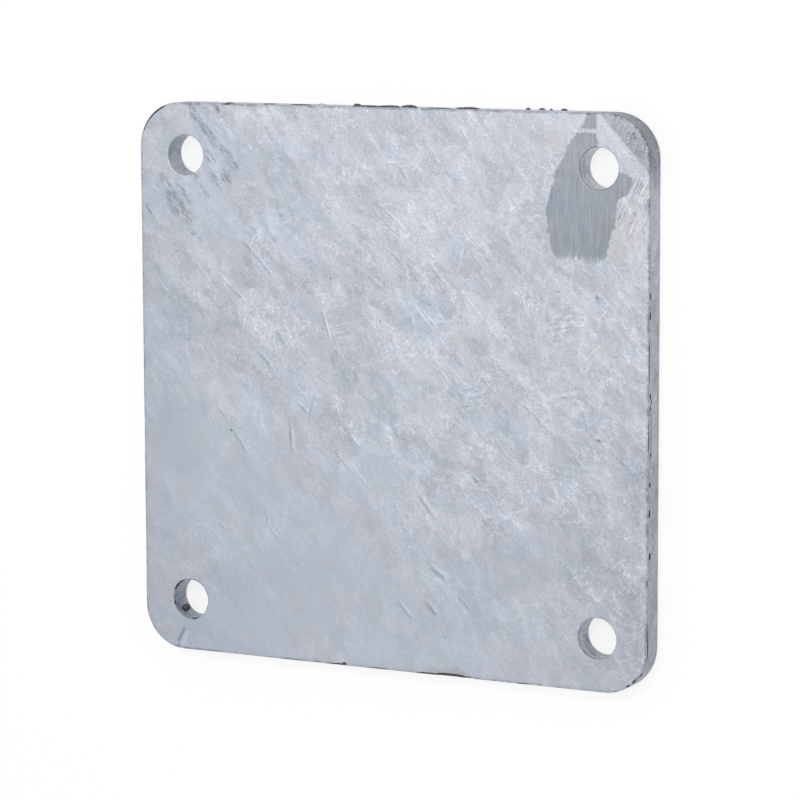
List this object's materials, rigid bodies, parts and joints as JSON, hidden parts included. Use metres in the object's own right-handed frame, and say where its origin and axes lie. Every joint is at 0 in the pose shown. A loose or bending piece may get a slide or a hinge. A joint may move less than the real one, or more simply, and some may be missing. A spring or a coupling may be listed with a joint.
{
  "type": "rectangular cover plate",
  "caption": "Square flat cover plate in hot-dip galvanised steel, round corners and a bolt hole in each corner.",
  "frame": {"origin": "centre of the seat face, the side that lies against what the plate covers", "axes": "+Z out of the plate from the seat face to the outer face, +X along the width, +Y along the height"},
  "size_m": [0.25, 0.25, 0.012],
  "materials": {
    "zinc_coat": "hot-dip galvanised, dull cool grey with a mottled, streaked bloom and bare spots along the edges"
  },
  "bodies": {
    "root": {"cover_plate": "zinc_coat"}
  },
  "joints": []
}
